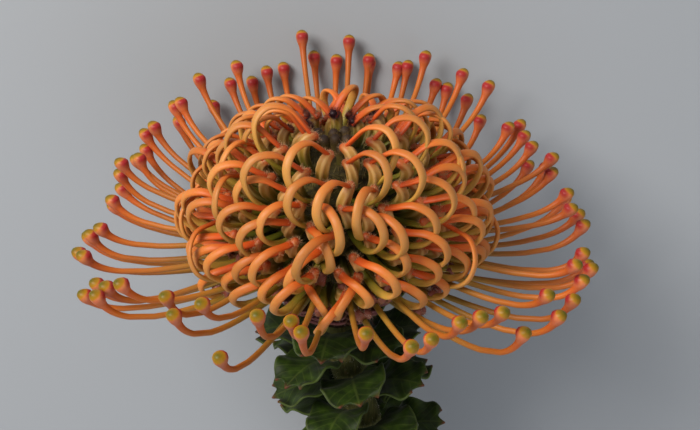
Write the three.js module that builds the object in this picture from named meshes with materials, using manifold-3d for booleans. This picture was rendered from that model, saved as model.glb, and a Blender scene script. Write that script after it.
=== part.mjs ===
// A cut pincushion protea lying on a surface: a domed head of looped and open styles, a ring of bracts
// under it, a woody stem and the leaves along the stem. Millimetres, +Z up, surface at z = 0.
import * as THREE from "three";
import { mergeVertices } from "three/addons/utils/BufferGeometryUtils.js";
import Module from "manifold-3d";

const wasm = await Module();
wasm.setup();
const radians = THREE.MathUtils.degToRad;
const mix = THREE.MathUtils.lerp;

// Driving dimensions of the whole flower
const headRadius = 57; // from the head's axis to the tips of the open styles
const headHeight = 48; // the head's centre above the surface that the flower lies on
const stemLength = 152; // the head's centre to the cut end, along the head's axis
const stemRadius = 4.7;
const clearance = 0.3; // the gap between neighbouring pieces that touch
const placeX = 0.06; // moves the middle of the flower's outer box to the origin
const placeY = 55.06;

// Florets, counted on the photographed head: the open styles stand at even steps round its rim, and the rest
// follow in a golden-angle spiral to the top
const openCount = 80; // their styles have sprung free
const loopCount = 78; // their style tips are still held, so that the styles bow out in loops
const budCount = 7; // still shut, in the hollow at the top
const goldenAngle = Math.PI * (3 - Math.sqrt(5));
const openTurns = 31; // round the head in all of the open styles' steps; it shares no factor with their count
const spiralStart = radians(20);

const styleRadius = 0.78;
const bendRadius = 0.9; // a looped style, flattened where it bends
const presenterRadius = 1.8; // the club at the end of each open style
const limbRadius = 1.25; // the hairy end of a floret's tube, which holds a looped style's tip
const coreProfile = [
  [0, -15],
  [8.5, -15],
  [13, -10],
  [17, -3],
  [18.5, 4],
  [17, 11],
  [12, 16.5],
  [5.5, 19],
  [0, 19.5],
];

// The cut end touches the surface, which sets how far the head's axis leans up from it
const stemEndHeight = stemRadius - 0.2;
const tilt = Math.asin((headHeight - stemEndHeight) / stemLength);
const up = new THREE.Vector3(0, -Math.cos(tilt), Math.sin(tilt)); // the world's up, seen from the head

// Park-Miller draws from -1 to 1, the same on every run
function seededDraws(seed) {
  let state = seed;
  return () => {
    state = (state * 16807) % 2147483647;
    return (2 * state) / 2147483647 - 1;
  };
}

// A point from its distance to the head's axis, its azimuth and its height along the axis
function aroundAxis(radius, azimuth, height) {
  return new THREE.Vector3(radius * Math.cos(azimuth), radius * Math.sin(azimuth), height);
}

// A point from its distance to the head's centre, its azimuth and its latitude
function onDome(distance, azimuth, latitude) {
  return aroundAxis(distance * Math.cos(latitude), azimuth, distance * Math.sin(latitude));
}

// Lifts a centre line that would pass under the surface, so that it lies `below` above it instead
const settle = 3; // how gradually it comes to lie
function lieOnSurface(point, below) {
  const height = headHeight + point.dot(up) - below;
  let lifted = height;
  if (height < -settle) lifted = 0;
  else if (height < settle) lifted = (height + settle) ** 2 / (4 * settle);
  return point.addScaledVector(up, lifted - height);
}

// A closed tube through stations [share of the curve's length, radius], with flat ends.
// `side` is a direction across the curve that keeps the tube from twisting.
function tube(curve, stations, side, sides, below) {
  const positions = [];
  const centre = new THREE.Vector3();
  const tangent = new THREE.Vector3();
  const across = new THREE.Vector3();
  const normal = new THREE.Vector3();
  for (const [place, radius] of stations) {
    curve.getPointAt(place, centre);
    curve.getTangentAt(place, tangent);
    if (below !== undefined) lieOnSurface(centre, below);
    across.copy(side).addScaledVector(tangent, -side.dot(tangent)).normalize();
    normal.crossVectors(tangent, across);
    for (let corner = 0; corner < sides; corner++) {
      const turn = (2 * Math.PI * (corner + 0.25)) / sides;
      const vertex = centre.clone();
      vertex.addScaledVector(across, radius * Math.cos(turn));
      vertex.addScaledVector(normal, radius * Math.sin(turn));
      positions.push(...vertex);
    }
  }
  const index = [];
  const last = (stations.length - 1) * sides;
  for (let row = 0; row < last; row += sides)
    for (let corner = 0; corner < sides; corner++) {
      const next = (corner + 1) % sides;
      index.push(row + corner, row + next, row + sides + next);
      index.push(row + corner, row + sides + next, row + sides + corner);
    }
  for (let corner = 1; corner < sides - 1; corner++) {
    index.push(0, corner + 1, corner);
    index.push(last, last + corner, last + corner + 1);
  }
  return indexed(positions, index);
}

function indexed(positions, index) {
  const geometry = new THREE.BufferGeometry();
  geometry.setAttribute("position", new THREE.Float32BufferAttribute(positions, 3));
  geometry.setIndex(index);
  return geometry;
}

// A blade with its two faces split alike, on both sides of the surface middle(along 0..1, across -1..1)
function blade(rows, columns, thickness, middle) {
  const positions = [];
  const normals = [];
  const step = 0.01;
  for (let row = 0; row <= rows; row++)
    for (let column = 0; column <= columns; column++) {
      const along = row / rows;
      const across = (2 * column) / columns - 1;
      const point = middle(along, across);
      const onward = middle(Math.min(along + step, 1), across).sub(middle(Math.max(along - step, 0), across));
      const aside = middle(along, across + step).sub(middle(along, across - step));
      normals.push(onward.cross(aside).normalize());
      positions.push(point);
    }
  const flat = [];
  for (const side of [0.5, -0.5])
    positions.forEach((point, i) => {
      flat.push(...point.clone().addScaledVector(normals[i], side * thickness));
    });
  const index = [];
  const count = positions.length;
  const width = columns + 1;
  for (let row = 0; row < rows; row++)
    for (let column = 0; column < columns; column++) {
      const a = row * width + column;
      const b = a + 1;
      const c = a + width + 1;
      const d = a + width;
      index.push(a, c, b, a, d, c); // the side that the normal points to
      index.push(count + a, count + b, count + c, count + a, count + c, count + d);
    }
  const rim = [];
  for (let column = 0; column < columns; column++) rim.push(column);
  for (let row = 0; row < rows; row++) rim.push(row * width + columns);
  for (let column = columns; column > 0; column--) rim.push(rows * width + column);
  for (let row = rows; row > 0; row--) rim.push(row * width);
  rim.forEach((a, i) => {
    const b = rim[(i + 1) % rim.length];
    index.push(a, b, count + b, a, count + b, count + a);
  });
  return indexed(flat, index);
}

function solid(geometry) {
  const bare = geometry.clone();
  bare.deleteAttribute("normal");
  bare.deleteAttribute("uv");
  const merged = mergeVertices(bare, 1e-4);
  const mesh = new wasm.Mesh({
    numProp: 3,
    vertProperties: merged.attributes.position.array,
    triVerts: new Uint32Array(merged.index.array),
  });
  const made = new wasm.Manifold(mesh);
  if (made.volume() < 0) throw new Error("a piece is inside out");
  return made;
}

const sliver = 0.04; // edges shorter than this, left where tubes cross, are closed up
function fused(geometries) {
  let solids = geometries.map(solid);
  while (solids.length > 1) {
    const paired = [];
    for (let i = 0; i < solids.length; i += 2)
      paired.push(i + 1 < solids.length ? solids[i].add(solids[i + 1]) : solids[i]);
    solids = paired;
  }
  return solids[0].simplify(sliver);
}

// What the surface would cut is pressed flat there
function pressedFlat(made) {
  const size = 400;
  const floor = new THREE.BoxGeometry(size, size, size);
  floor.translate(0, 0, -size / 2);
  floor.applyMatrix4(lying.matrixWorld.clone().invert());
  return made.subtract(solid(floor));
}

function geometryOf(made) {
  const mesh = made.getMesh();
  const geometry = indexed(mesh.vertProperties, Array.from(mesh.triVerts));
  geometry.computeVertexNormals();
  return geometry;
}

function revolved(profile, sides) {
  return new THREE.LatheGeometry(
    profile.map(([radius, height]) => new THREE.Vector2(radius, height)),
    sides,
  ).rotateX(Math.PI / 2);
}

// An open style runs out from the receptacle, and turns up before its club-shaped end. In front of the
// axis and behind it the styles turn up further than beside it, as the photographed head's do.
const openRootRadius = 10;
const openRows = { rootLow: -12, rootHigh: -2, tipLow: -9, tipHigh: 1, reachLow: 1, reachHigh: -4 };
const openRise = { front: 13.5, back: 20, frontReach: -5, frontRow: 0.35, frontEvenness: 0.7 };
const openCurl = { all: 12, front: 5 }; // how far the end of a style turns up, and further in front
const openScatter = { azimuth: radians(2), sweep: radians(3), tip: 3.5, reach: 1.5, curl: 3 };
const openGather = { back: 0.36, sides: 0.15 }; // how far the spiral is drawn from the front to the others
const openStations = [
  [0.0, styleRadius],
  [0.4, styleRadius],
  [0.72, styleRadius],
  [0.9, 1.3 * styleRadius],
  [0.97, presenterRadius],
  [1.0, 0.6 * presenterRadius],
];

function openStyles() {
  const draw = seededDraws(4021);
  const styles = [];
  for (let i = 0; i < openCount; i++) {
    const share = (i + 0.5) / openCount;
    const even = spiralStart + (i / openCount) * openTurns * 2 * Math.PI + openScatter.azimuth * draw();
    const azimuth = even + openGather.back * Math.cos(even) - openGather.sides * Math.sin(2 * even);
    const sweep = openScatter.sweep * draw();
    const front = Math.max(0, -Math.sin(azimuth)) ** 1.5;
    const back = Math.max(0, Math.sin(azimuth)) ** 1.5;
    const root = mix(openRows.rootLow, openRows.rootHigh, share);
    const rowShare = mix(share, openRise.frontRow, openRise.frontEvenness * front);
    const row = mix(openRows.tipLow, openRows.tipHigh, rowShare);
    const tip = row + openRise.front * front + openRise.back * back + openScatter.tip * draw();
    const rowReach = mix(openRows.reachLow, openRows.reachHigh, share) + openRise.frontReach * front;
    const reach = headRadius + rowReach + openScatter.reach * draw();
    const curl = openCurl.all + openCurl.front * front + openScatter.curl * draw();
    const curve = new THREE.CubicBezierCurve3(
      aroundAxis(openRootRadius, azimuth, root),
      aroundAxis(0.5 * reach, azimuth + 0.1 * sweep, mix(root, tip, 0.25) - 3),
      aroundAxis(reach - 2.5, azimuth + 0.8 * sweep, tip - curl),
      aroundAxis(reach, azimuth + sweep, tip),
    );
    const side = aroundAxis(1, azimuth + Math.PI / 2, 0);
    styles.push(tube(curve, openStations, side, 3, 0.9 * presenterRadius));
  }
  return styles;
}

// A looped floret: its style leaves the root, bows out beyond the tube's end and comes back to be held
// in the limb there, and the floret's tube goes down from the limb to the root again
const loopRows = { sineLow: 0.05, sineHigh: 0.955 }; // of the limbs' latitude, so that they stand evenly
const loopDrop = radians(13); // how much lower the lowest ones stand in front
const limbRows = { low: 23.2, high: 25.5 }; // from the head's centre
const loopRootDistance = 12;
const loopScatter = { azimuth: radians(3), limb: 0.8, size: 0.07 };
// To either side, and mostly away from the middle of the front
const loopTurn = { lean: radians(35), bulge: 6, least: 0.45, spread: 0.4, sideHand: 1.1, apart: 0.1 };
const loopSize = 1.1;
const loopBehind = { shrink: 0.35, sink: 2.5 }; // behind the top the loops are smaller and stand lower
const loopPath = [
  // out from the limb, on towards the rim, share of the bulge
  [-10, 1.5, 0],
  [-5, 6.2, 0],
  [-0.5, 9, 0.15],
  [3.6, 9.8, 0.5],
  [7, 8.4, 0.9],
  [8.4, 5, 1],
  [7, 1.6, 0.7],
  [3.5, 0, 0.25],
  [0, 0, 0],
];
const loopStations = [
  [0.0, bendRadius],
  [0.24, bendRadius],
  [0.38, bendRadius],
  [0.5, bendRadius],
  [0.61, bendRadius],
  [0.71, limbRadius],
  [0.8, limbRadius],
  [1.0, 0.75 * limbRadius],
];

function loopedFlorets() {
  const draw = seededDraws(209);
  const florets = [];
  for (let j = 0; j < loopCount; j++) {
    const share = (j + 0.5) / loopCount;
    const azimuth = spiralStart + (openCount + j) * goldenAngle + loopScatter.azimuth * draw();
    const front = Math.max(0, -Math.sin(azimuth)) ** 1.5;
    const evenly = Math.asin(mix(loopRows.sineLow, loopRows.sineHigh, share));
    const latitude = evenly - loopDrop * front * (1 - share) ** 2;
    const hand = draw();
    const side = -Math.sin(2 * azimuth);
    const turnBy = loopTurn.least + loopTurn.spread * Math.abs(hand);
    const turn = Math.sign(hand + loopTurn.sideHand * side) * turnBy + loopTurn.apart * side;
    const lean = loopTurn.lean * turn;
    const bulge = loopTurn.bulge * turn;
    const behind = 0.5 * (1 + Math.sin(azimuth)) * share ** 2;
    const size = loopSize * (1 + loopScatter.size * draw()) * (1 - loopBehind.shrink * behind);
    const limbRow = mix(limbRows.low, limbRows.high, share) - loopBehind.sink * behind;
    const limb = limbRow + loopScatter.limb * draw();

    const out = onDome(1, azimuth, latitude);
    const down = onDome(1, azimuth, latitude - Math.PI / 2);
    const aside = aroundAxis(1, azimuth + Math.PI / 2, 0);
    const onward = down.clone().multiplyScalar(Math.cos(lean)).addScaledVector(aside, Math.sin(lean));
    const sideways = aside.clone().multiplyScalar(Math.cos(lean)).addScaledVector(down, -Math.sin(lean));
    const points = loopPath.map(([outBy, onBy, bulgeShare]) =>
      out
        .clone()
        .multiplyScalar(limb + size * outBy)
        .addScaledVector(onward, size * onBy)
        .addScaledVector(sideways, bulge * bulgeShare),
    );
    const curve = new THREE.CatmullRomCurve3([...points, onDome(loopRootDistance, azimuth, latitude)]);
    florets.push(tube(curve, loopStations, sideways, 3));
  }
  return florets;
}

// The shut buds in the hollow at the top
const budRows = { low: radians(76), high: radians(88), tipDistance: 23 };
const budStations = [
  [0, 1],
  [0.85, 1.25],
  [1, 0.5],
];

function buds() {
  const shut = [];
  for (let b = 0; b < budCount; b++) {
    const share = (b + 0.5) / budCount;
    const azimuth = spiralStart + (openCount + loopCount + b) * goldenAngle;
    const latitude = mix(budRows.low, budRows.high, share);
    const root = onDome(loopRootDistance, azimuth, latitude);
    const curve = new THREE.LineCurve3(root, onDome(budRows.tipDistance, azimuth, latitude));
    const side = aroundAxis(1, azimuth + Math.PI / 2, 0);
    shut.push(tube(curve, budStations, side, 4));
  }
  return shut;
}

// The bracts stand in rows on a collar between the stem and the head
const collarTop = coreProfile[0][1] - clearance;
const collarBottom = -25;
const bractRows = [
  { count: 6, root: -22.8, rootRadius: 5.4, tip: -20, tipRadius: 11, halfWidth: 2.7 },
  { count: 8, root: -20, rootRadius: 6.4, tip: -17.4, tipRadius: 13, halfWidth: 2.6 },
  { count: 10, root: -17.2, rootRadius: 7, tip: -15, tipRadius: 14.5, halfWidth: 2.4 },
];

const bractThickness = 0.8;
const collarProfile = [
  [0, collarBottom],
  [5.2, collarBottom],
  [7, -21],
  [8.3, -17],
  [8.4, collarTop],
  [0, collarTop],
];

function involucre() {
  const bracts = bractRows.flatMap(({ count, root, rootRadius, tip, tipRadius, halfWidth }, row) =>
    Array.from({ length: count }, (_, i) => {
      const azimuth = (2 * Math.PI * (i + 0.5 * row)) / count;
      const ahead = aroundAxis(1, azimuth, 0);
      const aside = aroundAxis(1, azimuth + Math.PI / 2, 0);
      const middle = (along, across) => {
        const taper = Math.sqrt(1 - 0.93 * along);
        const cupped = 0.5 * across * across * taper;
        return new THREE.Vector3(0, 0, mix(root, tip, along) + cupped)
          .addScaledVector(ahead, mix(rootRadius, tipRadius, Math.sin((along * Math.PI) / 2)))
          .addScaledVector(aside, across * halfWidth * taper);
      };
      return blade(2, 2, bractThickness, middle);
    }),
  );
  return fused([revolved(collarProfile, 16), ...bracts]);
}

// The stem bends to one side under the head and comes back towards the cut end
const stemLine = new THREE.CatmullRomCurve3(
  [
    [0, collarBottom - clearance],
    [0.05, -28],
    [1.5, -35],
    [5.6, -52],
    [10, -78],
    [12, -104],
    [10.5, -130],
    [7, -stemLength],
  ].map(([x, z]) => new THREE.Vector3(x, 0, z)),
);
const stemTaper = (share) => mix(0.88, 1, share) * stemRadius;
const stemRings = 12;
const stemStations = Array.from({ length: stemRings }, (_, i) => {
  const share = i / (stemRings - 1);
  return [share, stemTaper(share)];
});

function stem() {
  return fused([tube(stemLine, stemStations, new THREE.Vector3(0, 1, 0), 10)]);
}

// Leaves climb the stem in a golden-angle spiral. Each clasps it, rises, spreads and droops at the tip.
const leafCount = 36;
const leafLength = 16.5;
const leafHalfWidth = 7.4;
const leafThickness = 1;
const leafSlope = { foot: 40, tip: 100 }; // degrees off the stem
const leafRows = 5;
const leafStart = radians(-100);
const leafPlaces = { first: 0.016, last: 0.6, crowding: 0.7 }; // shares of the stem's length, closer at the top
const leafOutline = [0.56, 0.88, 1, 0.98, 0.84, 0.58]; // half width at each row
const leafRipple = 0.6;
const toothNotch = 0.1; // how far the margin is cut back between the three teeth of the tip

function leaf(i) {
  const draw = seededDraws(911 + 37 * i);
  const share = i / (leafCount - 1);
  const crowded = share * mix(leafPlaces.crowding, 1, share);
  const place = mix(leafPlaces.first, leafPlaces.last, crowded);
  const foot = stemLine.getPointAt(place);
  const axis = stemLine.getTangentAt(place).negate();
  const turn = leafStart + i * goldenAngle;
  const out = aroundAxis(1, turn, 0);
  out.addScaledVector(axis, -out.dot(axis)).normalize();
  const aside = new THREE.Vector3().crossVectors(axis, out);
  const length = leafLength * (1 + 0.06 * draw());
  const halfWidth = leafHalfWidth * (1 + 0.08 * draw());
  const ripple = leafRipple * draw();
  const startRadius = stemTaper(place) + clearance + leafThickness / 2;

  // A leaf with too little room between the stem and the surface spreads less
  const room = (headHeight + foot.dot(up)) / Math.max(0.3, -out.dot(up));
  const spread = Math.min(1, (room - startRadius) / length);
  const slopeAt = (at) => spread * radians(mix(leafSlope.foot, leafSlope.tip, Math.sin((at * Math.PI) / 2)));

  // Distance from the stem's axis and height above the foot, part way along the leaf
  const profile = (along) => {
    let radius = startRadius;
    let height = 0;
    const steps = 16;
    for (let s = 0; s < steps; s++) {
      const slope = slopeAt(((s + 0.5) / steps) * along);
      radius += (Math.sin(slope) * length * along) / steps;
      height += (Math.cos(slope) * length * along) / steps;
    }
    return [radius, height];
  };

  const middle = (along, across) => {
    const row = along * leafRows;
    const before = Math.min(Math.floor(row), leafRows - 1);
    const outline = mix(leafOutline[before], leafOutline[before + 1], row - before);
    const tooth = Math.abs(Math.sin(Math.PI * across)) * toothNotch + 0.07 * across * across;
    const reach = along * (1 - tooth * along ** 6);
    const [radius, height] = profile(reach);
    const slope = slopeAt(reach);
    const bend = 1.15 * radius + 4.5;
    const angle = (across * halfWidth * outline) / bend;
    const raised = bend * (1 - Math.cos(angle)) + ripple * across * across * Math.sin(7 * along);
    const point = foot.clone();
    point.addScaledVector(out, radius - raised * Math.cos(slope));
    point.addScaledVector(aside, bend * Math.sin(angle));
    point.addScaledVector(axis, height + raised * Math.sin(slope));
    return lieOnSurface(point, leafThickness);
  };
  return fused([blade(leafRows, 4, leafThickness, middle)]);
}

// Colours of the parts, as seen in the photograph
const finishes = {
  bloom: new THREE.MeshStandardMaterial({ color: 0xe0803c, roughness: 0.45, metalness: 0 }),
  bract: new THREE.MeshStandardMaterial({ color: 0xa06a5c, roughness: 0.8, metalness: 0 }),
  stem: new THREE.MeshStandardMaterial({ color: 0x6d7a3c, roughness: 0.7, metalness: 0 }),
  leaf: new THREE.MeshStandardMaterial({ color: 0x2f4a22, roughness: 0.55, metalness: 0 }),
};

// The head's own axis, turned down until it leans `tilt` up from the surface
const lying = new THREE.Group();
lying.rotation.x = tilt - Math.PI / 2;
lying.position.set(placeX, placeY, headHeight);
lying.updateMatrixWorld(true);

function addPiece(name, made, finish) {
  const mesh = new THREE.Mesh(geometryOf(made), finish);
  mesh.name = name;
  lying.add(mesh);
}

const coreSides = 14;
const head = fused([revolved(coreProfile, coreSides), ...openStyles(), ...loopedFlorets(), ...buds()]);
addPiece("flower_head", pressedFlat(head), finishes.bloom);
addPiece("involucre", involucre(), finishes.bract);
addPiece("stem", pressedFlat(stem()), finishes.stem);
for (let i = 0; i < leafCount; i++) {
  addPiece("leaf_" + String(i + 1).padStart(2, "0"), leaf(i), finishes.leaf);
}

const flower = new THREE.Group();
flower.name = "pincushion_protea";
flower.add(lying);
export default flower;
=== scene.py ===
import math
import random

import bpy
import numpy as np
from mathutils import Matrix, Vector


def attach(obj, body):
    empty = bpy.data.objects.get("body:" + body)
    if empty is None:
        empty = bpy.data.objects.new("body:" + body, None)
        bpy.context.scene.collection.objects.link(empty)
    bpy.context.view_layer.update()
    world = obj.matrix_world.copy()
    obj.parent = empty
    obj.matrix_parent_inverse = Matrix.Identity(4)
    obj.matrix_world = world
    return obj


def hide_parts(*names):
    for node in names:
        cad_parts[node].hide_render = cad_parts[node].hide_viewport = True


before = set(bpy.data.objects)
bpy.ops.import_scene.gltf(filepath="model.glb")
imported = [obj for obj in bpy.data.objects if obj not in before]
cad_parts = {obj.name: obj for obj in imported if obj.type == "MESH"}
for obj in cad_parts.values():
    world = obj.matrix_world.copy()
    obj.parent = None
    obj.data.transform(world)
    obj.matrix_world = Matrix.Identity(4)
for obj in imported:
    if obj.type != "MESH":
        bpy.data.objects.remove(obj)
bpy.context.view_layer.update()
mm = 0.001

flower = {
    "headRadius": 57 * mm,
    "headHeight": 48 * mm,  # the head's middle above the surface
    "stemLength": 152 * mm,
    "stemRadius": 4.7 * mm,
    "cutSink": 0.2 * mm,  # the cut edge is pressed this far into the surface
    "placeX": 0.06 * mm,
    "placeY": 55.06 * mm,
    "openCount": 80,
    "loopCount": 78,
    "budCount": 7,
    "spiralStart": math.radians(20),
    "floorGap": 0.02 * mm,
}
goldenAngle = math.pi * (3 - math.sqrt(5))

# The cut end touches the surface, which sets how far the head's axis leans up from it
rise = flower["headHeight"] - flower["stemRadius"] + flower["cutSink"]
tilt = math.asin(rise / flower["stemLength"])
upward = Vector((0, -math.cos(tilt), math.sin(tilt)))  # the world's up, seen from the head
laidDown = Matrix.Translation((flower["placeX"], flower["placeY"], flower["headHeight"]))
laidDown = laidDown @ Matrix.Rotation(tilt - math.pi / 2, 4, "X")


def mix(a, b, share):
    return a + (b - a) * share


def seededDraws(seed):
    # the part's own draws from -1 to 1, so that every floret stands where its solid does
    state = seed
    while True:
        state = state * 16807 % 2147483647
        yield 2 * state / 2147483647 - 1


def strayed(shade, spread):
    return Vector([shade.gauss(0, spread) for _ in range(3)])


def aroundAxis(radius, azimuth, height):
    return Vector((radius * math.cos(azimuth), radius * math.sin(azimuth), height))


def besideAxis(azimuth):
    return aroundAxis(1, azimuth + math.pi / 2, 0)


def onDome(distance, azimuth, latitude):
    return aroundAxis(distance * math.cos(latitude), azimuth, distance * math.sin(latitude))


def inFront(azimuth):
    return max(0, -math.sin(azimuth)) ** 1.5


def lieOnSurface(point, below, settle=3 * mm):
    # a point that would pass under the surface lies on it instead
    height = flower["headHeight"] + point.dot(upward) - below
    lifted = height
    if height < -settle:
        lifted = 0
    elif height < settle:
        lifted = (height + settle) ** 2 / (4 * settle)
    return point + upward * (lifted - height)


def hexColour(code):
    # sRGB hex to the linear values that nodes take
    channels = [int(code[i : i + 2], 16) / 255 for i in (1, 3, 5)]
    linear = [c / 12.92 if c <= 0.04045 else ((c + 0.055) / 1.055) ** 2.4 for c in channels]
    return (*linear, 1)


smooth = {"interpolation_type": "SMOOTHSTEP"}
ofColours = {"data_type": "RGBA"}


def addNode(tree, kind, settings=None, inputs=None, stops=None, output=0):
    # gives one output of a new node, whose inputs may be values, hex colours or sockets to link
    node = tree.nodes.new("ShaderNode" + kind)
    for name, value in (settings or {}).items():
        setattr(node, name, value)
    for name, value in (inputs or {}).items():
        if isinstance(value, bpy.types.NodeSocket):
            tree.links.new(value, node.inputs[name])
        else:
            node.inputs[name].default_value = hexColour(value) if isinstance(value, str) else value
    if stops:
        ramp = node.color_ramp
        while len(ramp.elements) < len(stops):
            ramp.elements.new(1)
        for element, (place, colour) in zip(ramp.elements, stops):
            element.position = place
            element.color = hexColour(colour)
    return node.outputs[output] if node.outputs else node


def newMaterial(name):
    material = bpy.data.materials.new(name)
    material.use_nodes = True
    material.node_tree.nodes.clear()
    return material, material.node_tree


def finishMaterial(tree, colour, roughness, relief=None, others=None):
    # relief is a height, its strength and its depth; others are further inputs of the shader
    inputs = {"Base Color": colour, "Roughness": roughness, **(others or {})}
    if relief:
        bump = dict(zip(("Height", "Strength", "Distance"), relief))
        inputs["Normal"] = addNode(tree, "Bump", inputs=bump)
    shader = addNode(tree, "BsdfPrincipled", inputs=inputs)
    addNode(tree, "OutputMaterial", inputs={"Surface": shader})


def deselectAll():
    if bpy.context.object and bpy.context.object.mode != "OBJECT":
        bpy.ops.object.mode_set(mode="OBJECT")
    bpy.ops.object.select_all(action="DESELECT")


# Straight blanks, extruded ring by ring along X from 0 to 1, that are then laid along their own curves


def turnedBlank(name, sides, stations, unit=1):
    # stations give the place along X and the radius, in the unit
    stations = [(place, radius * unit) for place, radius in stations]
    deselectAll()
    place, radius = stations[0]
    facingX = (0, math.pi / 2, 0)
    bpy.ops.mesh.primitive_circle_add(vertices=sides, radius=radius, fill_type="NGON", rotation=facingX)
    blank = bpy.context.object
    blank.name = name
    bpy.ops.object.transform_apply(location=False, rotation=True, scale=False)
    bpy.ops.object.mode_set(mode="EDIT")
    bpy.ops.mesh.select_all(action="SELECT")
    for nextPlace, nextRadius in stations[1:]:
        bpy.ops.mesh.extrude_region_move(TRANSFORM_OT_translate={"value": (nextPlace - place, 0, 0)})
        grow = nextRadius / radius
        bpy.ops.transform.resize(value=(1, grow, grow), center_override=(nextPlace, 0, 0))
        place, radius = nextPlace, nextRadius
    bpy.ops.mesh.select_all(action="SELECT")
    bpy.ops.mesh.normals_make_consistent(inside=False)
    bpy.ops.object.mode_set(mode="OBJECT")
    bpy.ops.object.shade_smooth()
    return blank


def readPoints(piece):
    flat = np.empty(3 * len(piece.data.vertices))
    piece.data.vertices.foreach_get("co", flat)
    return flat.reshape(-1, 3)


def writePoints(piece, points):
    piece.data.vertices.foreach_set("co", np.asarray(points, dtype=np.float32).ravel())
    piece.data.update()


def writeShares(piece, **shares):
    # numbers for each vertex, which a material reads
    mesh = piece.data
    for name, values in shares.items():
        layer = mesh.attributes.get(name) or mesh.attributes.new(name, "FLOAT", "POINT")
        layer.data.foreach_set("value", np.broadcast_to(values, len(mesh.vertices)).astype(np.float32))


def bezierPath(p0, p1, p2, p3, steps=60):
    t = np.linspace(0, 1, steps + 1)[:, None]
    p0, p1, p2, p3 = (np.array(p) for p in (p0, p1, p2, p3))
    return (1 - t) ** 3 * p0 + 3 * t * (1 - t) ** 2 * p1 + 3 * t**2 * (1 - t) * p2 + t**3 * p3


def throughPoints(points, steps=12):
    # a centripetal curve through the points
    points = [Vector(p) for p in points]
    points = [2 * points[0] - points[1], *points, 2 * points[-1] - points[-2]]
    path = []
    for p0, p1, p2, p3 in zip(points, points[1:], points[2:], points[3:]):
        t0, t1, t2 = (math.sqrt((b - a).length) for a, b in ((p0, p1), (p1, p2), (p2, p3)))
        leave = ((p1 - p0) / t0 - (p2 - p0) / (t0 + t1) + (p2 - p1) / t1) * t1
        arrive = ((p2 - p1) / t1 - (p3 - p1) / (t1 + t2) + (p3 - p2) / t2) * t1
        for step in range(steps):
            t = step / steps
            ends = (2 * t**3 - 3 * t**2 + 1) * p1 + (t**3 - 2 * t**2 + t) * leave
            path.append(ends + (3 * t**2 - 2 * t**3) * p2 + (t**3 - t**2) * arrive)
    path.append(points[-2])
    return np.array(path)


def atShares(path, at):
    # points of the path and its directions there, at shares of its length
    lengths = np.concatenate([[0], np.cumsum(np.linalg.norm(np.diff(path, axis=0), axis=1))])
    shares = lengths / lengths[-1]
    lines = path, np.gradient(path, lengths, axis=0)
    return [np.stack([np.interp(at, shares, column) for column in line.T], -1) for line in lines]


def laidAlong(blank, path, side, tone, width=1.0):
    # a copy of the blank with its own mesh, its X laid along the path and its Y kept near the side direction
    piece = bpy.data.objects.new(blank.name, blank.data.copy())
    bpy.context.collection.objects.link(piece)
    points = readPoints(piece)
    centre, tangent = atShares(path, points[:, 0])
    tangent /= np.linalg.norm(tangent, axis=1, keepdims=True)
    across = np.array(side) - (tangent @ np.array(side))[:, None] * tangent
    across /= np.linalg.norm(across, axis=1, keepdims=True)
    normal = np.cross(tangent, across)
    writePoints(piece, centre + width * (points[:, 1:2] * across + points[:, 2:3] * normal))
    writeShares(piece, tone=tone)
    return piece


def joined(pieces, name, blank=None):
    deselectAll()
    for piece in pieces:
        piece.select_set(True)
    bpy.context.view_layer.objects.active = pieces[0]
    if len(pieces) > 1:
        bpy.ops.object.join()
    piece = bpy.context.object
    piece.name = name
    piece.data.name = name
    if blank:
        bpy.data.objects.remove(blank)
    return piece


def layDown(piece, material, node="flower_head"):
    # turn the mesh down with the flower, press flat what the surface would cut, and tell the frame about it
    piece.data.transform(laidDown)
    points = readPoints(piece)
    points[:, 2] = np.maximum(points[:, 2], flower["floorGap"])
    writePoints(piece, points)
    piece.data.materials.clear()
    piece.data.materials.append(material)
    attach(piece, "root")
    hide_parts(node)


def layHairs(name, strands, hair, node="flower_head"):
    # fine three-sided needles, each given by its root, tip and tone, as one mesh
    finish, radius, dark, pale = hair
    roots, tips, tones = (np.array(part) for part in zip(*strands))
    axis = tips - roots
    axis /= np.linalg.norm(axis, axis=1, keepdims=True)
    helper = np.where(np.abs(axis[:, 2:3]) < 0.8, [[0, 0, 1]], [[1, 0, 0]])
    across = np.cross(axis, helper)
    across /= np.linalg.norm(across, axis=1, keepdims=True)
    normal = np.cross(axis, across)
    corners = []
    for turn in (0, 2 * math.pi / 3, 4 * math.pi / 3):
        corners.append(roots + radius * (math.cos(turn) * across + math.sin(turn) * normal))
    points = np.stack([*corners, tips], 1).reshape(-1, 3)
    first = 4 * np.arange(len(roots))[:, None, None]
    faces = (first + np.array([[0, 1, 3], [1, 2, 3], [2, 0, 3], [0, 2, 1]])[None]).reshape(-1, 3)
    mesh = bpy.data.meshes.new(name)
    mesh.from_pydata(points.tolist(), [], faces.tolist())
    piece = bpy.data.objects.new(name, mesh)
    bpy.context.collection.objects.link(piece)
    writeShares(piece, tone=np.repeat(tones, 4))
    # silky, and each dark to pale by its tone
    material, tree = newMaterial(finish)
    tone = addNode(tree, "Attribute", {"attribute_name": "tone"}, output="Fac")
    colour = addNode(tree, "ValToRGB", inputs={"Fac": tone}, stops=[(0.15, dark), (0.85, pale)])
    finishMaterial(tree, colour, 0.55)
    layDown(piece, material, node)


# Camera, light and floor

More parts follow.
